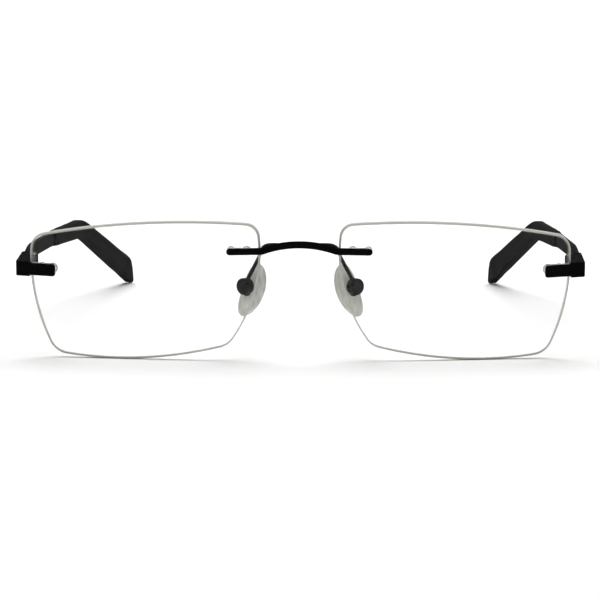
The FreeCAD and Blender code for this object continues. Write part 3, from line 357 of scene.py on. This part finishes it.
def pad_matrix(side):
    """The pad's own frame: X across it, Y up it and Z out of its face toward the nose."""
    joint = next(j for j in frame["joints"] if j["name"] == f"pad_{side}_rock")
    pin = Vector(joint["pos_m"])
    across = Vector(joint["axis"]).normalized() * SIDES[side]
    up = Vector((0.0, 0.0, 1.0))
    face = across.cross(up)
    if face.x * pin.x > 0:
        face = -face
        across = -across
    turned = Matrix((across, up, face)).transposed().to_4x4()
    lean = Matrix.Rotation(-PAD_TILT * SIDES[side], 4, "Z")
    beside = Matrix.Translation((PAD_SHIFT * SIDES[side], 0.0, PAD_BEYOND_PIN))
    lowered = Matrix.Translation((0.0, -PAD_DROP, 0.0))
    return Matrix.Translation(pin) @ turned @ beside @ lean @ lowered


def pad_outline(turn):
    """A point of the pad's outline, in shares of its half width and half height.

    It is an oval that is fuller at the top and bowed to one side in the middle.
    """
    x = math.cos(turn)
    y = math.sin(turn)
    fuller = 1.0 + PAD_FULLER * y
    square = (abs(x) ** PAD_SQUARENESS + abs(y) ** PAD_SQUARENESS) ** (-1 / PAD_SQUARENESS)
    bow = PAD_BOW * (1 - 2 * y**2)
    return x * square * fuller + bow, y * square


def pad_section():
    """Rings from the middle of the face, over the rim, to the middle of the back.

    Each is a pair of shares: how far out it lies, and how far forward.
    """
    steps = 7
    rim_steps = 5
    rim_middle = (PAD_RIM_FRONT + PAD_RIM_BACK) / 2
    rim_half = (PAD_RIM_FRONT - PAD_RIM_BACK) / 2
    rings = []
    for step in range(1, steps + 1):
        out = PAD_RIM_START * step / steps
        rings.append((out, PAD_RIM_FRONT + PAD_CROWN * (1 - out**2.2)))
    for step in range(1, rim_steps):
        turn = math.pi * step / rim_steps
        out = PAD_RIM_START + (1 - PAD_RIM_START) * math.sin(turn)
        rings.append((out, rim_middle + rim_half * math.cos(turn)))
    for step in range(steps, 0, -1):
        out = PAD_RIM_START * step / steps
        dish = PAD_DISH_DEPTH * math.exp(-(((out - PAD_DISH_AT) / PAD_DISH_SPREAD) ** 2))
        rings.append((out, PAD_RIM_BACK - PAD_BACK_BULGE * (1 - out**2) + dish))
    return rings


def make_pad(side):
    """A crowned silicone pad with a rolled rim and a shallow dish round its stem at the back."""
    around = 48
    half_width = PAD_WIDTH / 2
    half_height = PAD_HEIGHT / 2
    half_depth = PAD_DEPTH / 2
    mesh = bmesh.new()
    front = mesh.verts.new((0.0, 0.0, half_depth * (PAD_RIM_FRONT + PAD_CROWN)))
    rings = []
    for out, forward in pad_section():
        ring = []
        for i in range(around):
            x, y = pad_outline(2 * math.pi * i / around)
            across = x * half_width * out * SIDES[side]
            ring.append(mesh.verts.new((across, y * half_height * out, half_depth * forward)))
        rings.append(ring)
    back = mesh.verts.new((0.0, 0.0, half_depth * PAD_BACK_MIDDLE))
    for i in range(around):
        following = (i + 1) % around
        mesh.faces.new((front, rings[0][i], rings[0][following]))
        for near, far in zip(rings, rings[1:]):
            mesh.faces.new((near[i], far[i], far[following], near[following]))
        mesh.faces.new((rings[-1][i], back, rings[-1][following]))
    bmesh.ops.recalc_face_normals(mesh, faces=mesh.faces)
    data = bpy.data.meshes.new(f"soft_pad_{side}")
    mesh.to_mesh(data)
    mesh.free()
    data.transform(pad_matrix(side))
    for face in data.polygons:
        face.use_smooth = True
    pad = bpy.data.objects.new(f"soft_pad_{side}", data)
    bpy.context.scene.collection.objects.link(pad)
    smooth = pad.modifiers.new("smooth", "SUBSURF")
    smooth.levels = 1
    smooth.render_levels = 2
    return pad


def add_pads(material):
    for side in SIDES:
        pad = make_pad(side)
        pad.data.materials.append(material)
        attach(pad, f"nose_pad_{side}")
        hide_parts(f"nose_pad_{side}")


# ---------------------------------------------------------------- floor, light and camera

# the paper glows more and more between these two distances behind the glasses
GLOW_START = 0.1
GLOW_FULL = 0.9
GLOW_STRENGTH = 0.6


def floor_material():
    """White paper with a fine tooth, lit through from behind farther back."""
    tree = Tree("pale_floor")
    speckle = tree.noise(0.8 * MM, detail=4.0)
    tone = tree.blend(speckle, colour(0.90, 0.90, 0.895), colour(0.93, 0.93, 0.925))
    place = tree.add("SeparateXYZ", {"Vector": tree.coordinates.outputs["Object"]})
    path = tree.add("LightPath")
    # rays bent by the lenses count as glossy too, so they are taken off
    mirrored = tree.math(
        "SUBTRACT", path.outputs["Is Glossy Ray"], path.outputs["Is Transmission Ray"], clamp=True)
    farther = tree.ramp(place.outputs["Y"], GLOW_START, GLOW_FULL)
    glow = tree.math("MULTIPLY", farther, GLOW_STRENGTH)
    paper = tree.principled(
        Base_Color=tone, Roughness=0.8, Specular_IOR_Level=0.1,
        Emission_Color=colour(1.0, 1.0, 1.0), Emission_Strength=glow)
    # reflections find dark cloth in place of the paper
    cloth = tree.add("BsdfDiffuse", {"Color": colour(0.05, 0.05, 0.05)}).outputs["BSDF"]
    return tree.finish(tree.mix(mirrored, paper, cloth))


def make_floor():
    """One sheet: a floor that curves up to a wall far behind."""
    width = 6.0
    front = -3.0
    bend = 1.5
    radius = 1.2
    top = 3.0
    steps = 16
    line = [(front, 0.0), (bend, 0.0)]
    for step in range(1, steps + 1):
        turn = math.pi / 2 * step / steps
        line.append((bend + radius * math.sin(turn), radius * (1 - math.cos(turn))))
    line.append((bend + radius, top))
    mesh = bmesh.new()
    rows = []
    for y, z in line:
        rows.append([mesh.verts.new((x, y, z)) for x in (-width / 2, width / 2)])
    for near, far in zip(rows, rows[1:]):
        mesh.faces.new((near[0], near[1], far[1], far[0]))
    data = bpy.data.meshes.new("studio_floor")
    mesh.to_mesh(data)
    mesh.free()
    for face in data.polygons:
        face.use_smooth = True
    floor = bpy.data.objects.new("studio_floor", data)
    floor.data.materials.append(floor_material())
    bpy.context.scene.collection.objects.link(floor)


def add_light(name, size, power, place, target):
    """A round soft light that neither the camera nor a reflection sees."""
    lamp = bpy.data.lights.new(name, "AREA")
    lamp.shape = "DISK"
    lamp.size = size
    lamp.energy = power
    holder = bpy.data.objects.new(name, lamp)
    holder.location = place
    holder.rotation_mode = "QUATERNION"
    holder.rotation_quaternion = (Vector(target) - Vector(place)).to_track_quat("-Z", "Y")
    holder.visible_camera = False
    holder.visible_glossy = False
    bpy.context.scene.collection.objects.link(holder)


WORLD_IN_REFLECTIONS = 0.15
WORLD_AS_A_LIGHT = 0.3
WORLD_AS_SEEN = 1.0


def make_world():
    """A white surround as the camera sees it, dimmer as a light and dark in reflections."""
    world = bpy.data.worlds.new("studio")
    world.use_nodes = True
    tree = world.node_tree
    path = tree.nodes.new("ShaderNodeLightPath")
    background = tree.nodes["Background"]
    background.inputs["Color"].default_value = colour(1.0, 1.0, 1.0)
    start = tree.nodes.new("ShaderNodeValue")
    start.outputs["Value"].default_value = WORLD_IN_REFLECTIONS
    strength = start.outputs["Value"]
    # a ray of a later kind overrides the earlier ones
    levels = {
        "Is Diffuse Ray": WORLD_AS_A_LIGHT,
        "Is Camera Ray": WORLD_AS_SEEN,
        "Is Transmission Ray": WORLD_AS_SEEN,
    }
    for ray, level in levels.items():
        step = tree.nodes.new("ShaderNodeMix")
        tree.links.new(path.outputs[ray], step.inputs["Factor"])
        tree.links.new(strength, step.inputs["A"])
        step.inputs["B"].default_value = level
        strength = step.outputs["Result"]
    tree.links.new(strength, background.inputs["Strength"])
    bpy.context.scene.world = world


def make_lights():
    """A soft key from behind and above throws the shadows forward, and a dim overhead fills them."""
    make_world()
    add_light("key", size=2.4, power=62.0, place=(0.0, 1.3, 2.0), target=(0.0, -0.03, 0.0))
    add_light("overhead", size=2.0, power=7.0, place=(0.0, -0.4, 2.0), target=(0.0, 0.0, 0.0))


def make_camera():
    """A long lens in front of the glasses, a little above them and slightly to their left side."""
    distance = 0.7
    elevation = math.radians(7.5)
    aside = math.radians(1.2)
    target = Vector((0.0, -67.3 * MM, 13.9 * MM))
    level = Vector((math.sin(aside), -math.cos(aside), 0.0))
    toward = level * math.cos(elevation) + Vector((0.0, 0.0, math.sin(elevation)))
    data = bpy.data.cameras.new("camera")
    data.sensor_width = 36.0
    data.lens = 176.8
    data.clip_start = 0.01
    data.clip_end = 50.0
    camera = bpy.data.objects.new("camera", data)
    camera.location = target + toward * distance
    camera.rotation_mode = "QUATERNION"
    camera.rotation_quaternion = (-toward).to_track_quat("-Z", "Y")
    bpy.context.scene.collection.objects.link(camera)
    bpy.context.scene.camera = camera


# ---------------------------------------------------------------- put it together

def forward_of(node):
    """The way a lens faces: the mean normal of its front."""
    total = Vector()
    for face in NODES[node].data.polygons:
        if face.normal.y < -0.7:
            total += face.normal * face.area
    return total.normalized()


def paint_frame():
    black = black_lacquer()
    paint(black, "bridge", *both("end_piece"))
    paint(grey_plating(), *both("temple_bar"))
    wire = dark_wire()
    paint(wire, *both("pad_arm"), *both("pad_box"))
    hinge = turned_steel("hinge_steel", 0.10, 0.32)
    paint(hinge, *both("hinge_front"), *both("hinge_temple"))
    steel = turned_steel("screw_steel", 0.42, 0.22)
    paint(steel, *both("hinge_screw"), *both("pad_pin"))
    for mount in ("bridge", "end_piece"):
        paint(steel, *both(f"{mount}_stud_inner"), *both(f"{mount}_stud_outer"))
    plastic = clear_plastic()
    paint(plastic, *both("bridge_plug"), *both("end_piece_plug"), *both("pad_insert"))
    paint(sleeve_plastic(), *both("temple_tip"))
    for node in both("lens"):
        paint(lens_resin(node + "_resin", forward_of(node)), node)


paint_frame()
add_pads(silicone())
make_floor()
make_lights()
make_camera()
bpy.context.scene.view_settings.view_transform = "Standard"
